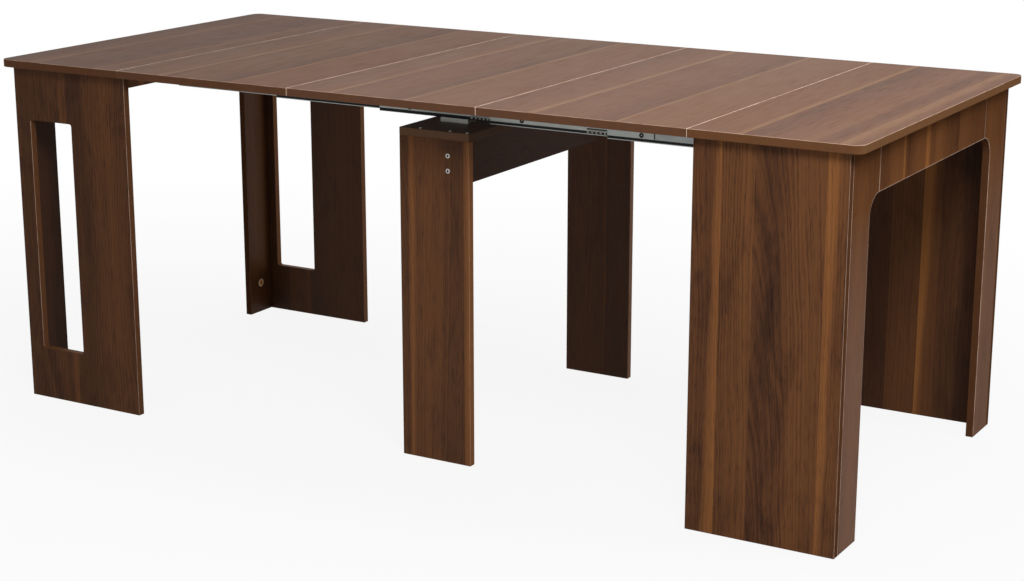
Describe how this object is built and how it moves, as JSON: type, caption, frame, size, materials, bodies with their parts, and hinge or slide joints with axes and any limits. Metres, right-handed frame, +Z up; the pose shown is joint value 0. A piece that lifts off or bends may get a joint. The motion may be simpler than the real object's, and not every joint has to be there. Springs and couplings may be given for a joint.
{
  "type": "extending dining table",
  "caption": "Extending console dining table: two panelled end bases that draw apart on telescopic steel slides, a sliding middle trestle and loose top leaves dropped in between.",
  "frame": {"origin": "floor level, under the centre of the opened top", "axes": "+X along the table towards the plain base, +Y across it away from the front edge, +Z up"},
  "size_m": [1.95, 0.9, 0.75],
  "materials": {
    "walnut_top": "satin walnut-effect laminate, grain across the table",
    "walnut_board": "satin dark walnut-effect laminate, upright grain",
    "beech_dowel": "turned beech",
    "zinc_slide": "bright zinc-plated rolled steel",
    "black_plastic": "moulded nylon",
    "bright_screw": "bright plated",
    "brass_cam": "yellow passivated die-cast"
  },
  "bodies": {
    "plain_base": {"plain_end_top": "walnut_top", "plain_front_side": "walnut_board", "plain_rear_side": "walnut_board", "plain_front_stile": "walnut_board", "plain_rear_stile": "walnut_board", "plain_apron": "walnut_board", "plain_front_bearer": "walnut_board", "plain_rear_bearer": "walnut_board", "plain_rail_plates": "zinc_slide", "plain_rail_screws": "bright_screw", "plain_cam_locks": "brass_cam", "plain_frame_dowels": "beech_dowel", "front_rail_1": "zinc_slide", "rear_rail_1": "zinc_slide"},
    "rail_stage_2": {"front_rail_2": "zinc_slide", "rear_rail_2": "zinc_slide"},
    "middle_trestle": {"middle_front_leg": "walnut_board", "middle_rear_leg": "walnut_board", "middle_beam": "walnut_board", "middle_top_board": "walnut_board", "front_rail_bracket": "zinc_slide", "rear_rail_bracket": "zinc_slide", "middle_leg_screws": "bright_screw", "middle_shelf_screws": "bright_screw", "front_rail_3": "zinc_slide", "rear_rail_3": "zinc_slide"},
    "rail_stage_4": {"front_rail_4": "zinc_slide", "rear_rail_4": "zinc_slide"},
    "rail_stage_5": {"front_rail_5": "zinc_slide", "rear_rail_5": "zinc_slide"},
    "slotted_base": {"slotted_end_top": "walnut_top", "slotted_top_pins": "beech_dowel", "slotted_front_side": "walnut_board", "slotted_rear_side": "walnut_board", "slotted_front_stile": "walnut_board", "slotted_rear_stile": "walnut_board", "slotted_apron": "walnut_board", "slotted_front_bearer": "walnut_board", "slotted_rear_bearer": "walnut_board", "slotted_rail_spacers": "black_plastic", "slotted_rail_screws": "bright_screw", "slotted_cam_locks": "brass_cam", "slotted_frame_dowels": "beech_dowel", "front_rail_6": "zinc_slide", "rear_rail_6": "zinc_slide"},
    "cage_stage_1": {"ball_cages_1": "zinc_slide"},
    "cage_stage_2": {"ball_cages_2": "zinc_slide"},
    "cage_stage_3": {"ball_cages_3": "zinc_slide"},
    "cage_stage_4": {"ball_cages_4": "zinc_slide"},
    "cage_stage_5": {"ball_cages_5": "zinc_slide"},
    "leaf_1_body": {"leaf_1": "walnut_top", "leaf_1_pins": "beech_dowel", "leaf_1_pads": "black_plastic"},
    "leaf_2_body": {"leaf_2": "walnut_top", "leaf_2_pins": "beech_dowel", "leaf_2_pads": "black_plastic"},
    "leaf_3_body": {"leaf_3": "walnut_top", "leaf_3_pins": "beech_dowel", "leaf_3_pads": "black_plastic"}
  },
  "joints": [
    {"name": "table_extension", "type": "slide", "parent": "plain_base", "child": "slotted_base", "axis": [1, 0, 0], "range_m": [0, 1.3]},
    {"name": "rail_stage_2_slide", "type": "slide", "parent": "plain_base", "child": "rail_stage_2", "axis": [1, 0, 0], "range_m": [0, 0.26]},
    {"name": "trestle_slide", "type": "slide", "parent": "plain_base", "child": "middle_trestle", "axis": [1, 0, 0], "range_m": [0, 0.52]},
    {"name": "rail_stage_4_slide", "type": "slide", "parent": "plain_base", "child": "rail_stage_4", "axis": [1, 0, 0], "range_m": [0, 0.78]},
    {"name": "rail_stage_5_slide", "type": "slide", "parent": "plain_base", "child": "rail_stage_5", "axis": [1, 0, 0], "range_m": [0, 1.04]},
    {"name": "cage_1_roll", "type": "slide", "parent": "plain_base", "child": "cage_stage_1", "axis": [1, 0, 0], "range_m": [0, 0.13]},
    {"name": "cage_2_roll", "type": "slide", "parent": "plain_base", "child": "cage_stage_2", "axis": [1, 0, 0], "range_m": [0, 0.39]},
    {"name": "cage_3_roll", "type": "slide", "parent": "plain_base", "child": "cage_stage_3", "axis": [1, 0, 0], "range_m": [0, 0.65]},
    {"name": "cage_4_roll", "type": "slide", "parent": "plain_base", "child": "cage_stage_4", "axis": [1, 0, 0], "range_m": [0, 0.91]},
    {"name": "cage_5_roll", "type": "slide", "parent": "plain_base", "child": "cage_stage_5", "axis": [1, 0, 0], "range_m": [0, 1.17]},
    {"name": "leaf_1_lift", "type": "slide", "parent": "middle_trestle", "child": "leaf_1_body", "axis": [0, 0, 1], "range_m": [0, 0.52]},
    {"name": "leaf_2_lift", "type": "slide", "parent": "middle_trestle", "child": "leaf_2_body", "axis": [0, 0, 1], "range_m": [0, 0.52]},
    {"name": "leaf_3_lift", "type": "slide", "parent": "middle_trestle", "child": "leaf_3_body", "axis": [0, 0, 1], "range_m": [0, 0.52]}
  ],
  "couplings": [
    {"joint": "rail_stage_2_slide", "follows": "table_extension", "ratio": 0.2},
    {"joint": "trestle_slide", "follows": "table_extension", "ratio": 0.4},
    {"joint": "rail_stage_4_slide", "follows": "table_extension", "ratio": 0.6},
    {"joint": "rail_stage_5_slide", "follows": "table_extension", "ratio": 0.8},
    {"joint": "cage_1_roll", "follows": "table_extension", "ratio": 0.1},
    {"joint": "cage_2_roll", "follows": "table_extension", "ratio": 0.3},
    {"joint": "cage_3_roll", "follows": "table_extension", "ratio": 0.5},
    {"joint": "cage_4_roll", "follows": "table_extension", "ratio": 0.7},
    {"joint": "cage_5_roll", "follows": "table_extension", "ratio": 0.9},
    {"joint": "leaf_1_lift", "follows": "table_extension", "ratio": 0.4},
    {"joint": "leaf_2_lift", "follows": "table_extension", "ratio": 0.4},
    {"joint": "leaf_3_lift", "follows": "table_extension", "ratio": 0.4}
  ]
}
